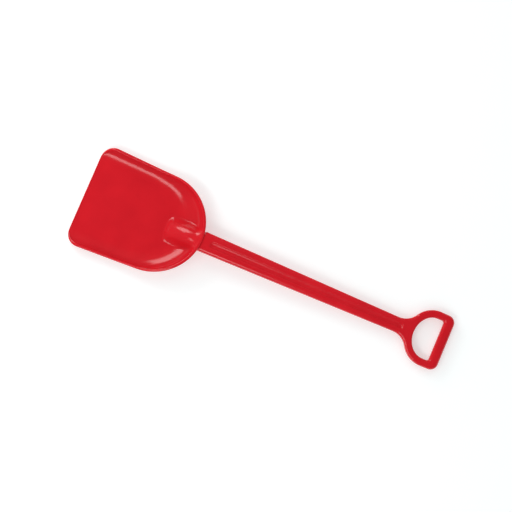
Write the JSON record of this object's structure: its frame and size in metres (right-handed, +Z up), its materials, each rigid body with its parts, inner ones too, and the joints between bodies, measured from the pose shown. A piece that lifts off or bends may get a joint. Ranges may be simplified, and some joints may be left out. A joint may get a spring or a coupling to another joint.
{
  "type": "sand shovel",
  "caption": "Child's sand shovel with a dished blade, a raised socket in its heel, a tapered hollow shaft with a long recess, and a D-shaped grip.",
  "frame": {"origin": "middle of the shovel's footprint on the floor that it lies on, face up", "axes": "+X from the blade's lip to the grip, +Z up from the floor, out of the blade's hollow side"},
  "size_m": [0.5498, 0.1496, 0.03],
  "materials": {
    "blade_plastic": "glossy red moulded plastic",
    "handle_plastic": "glossy red moulded plastic"
  },
  "bodies": {
    "root": {"blade": "blade_plastic", "handle_front": "handle_plastic", "handle_back": "handle_plastic"}
  },
  "joints": []
}
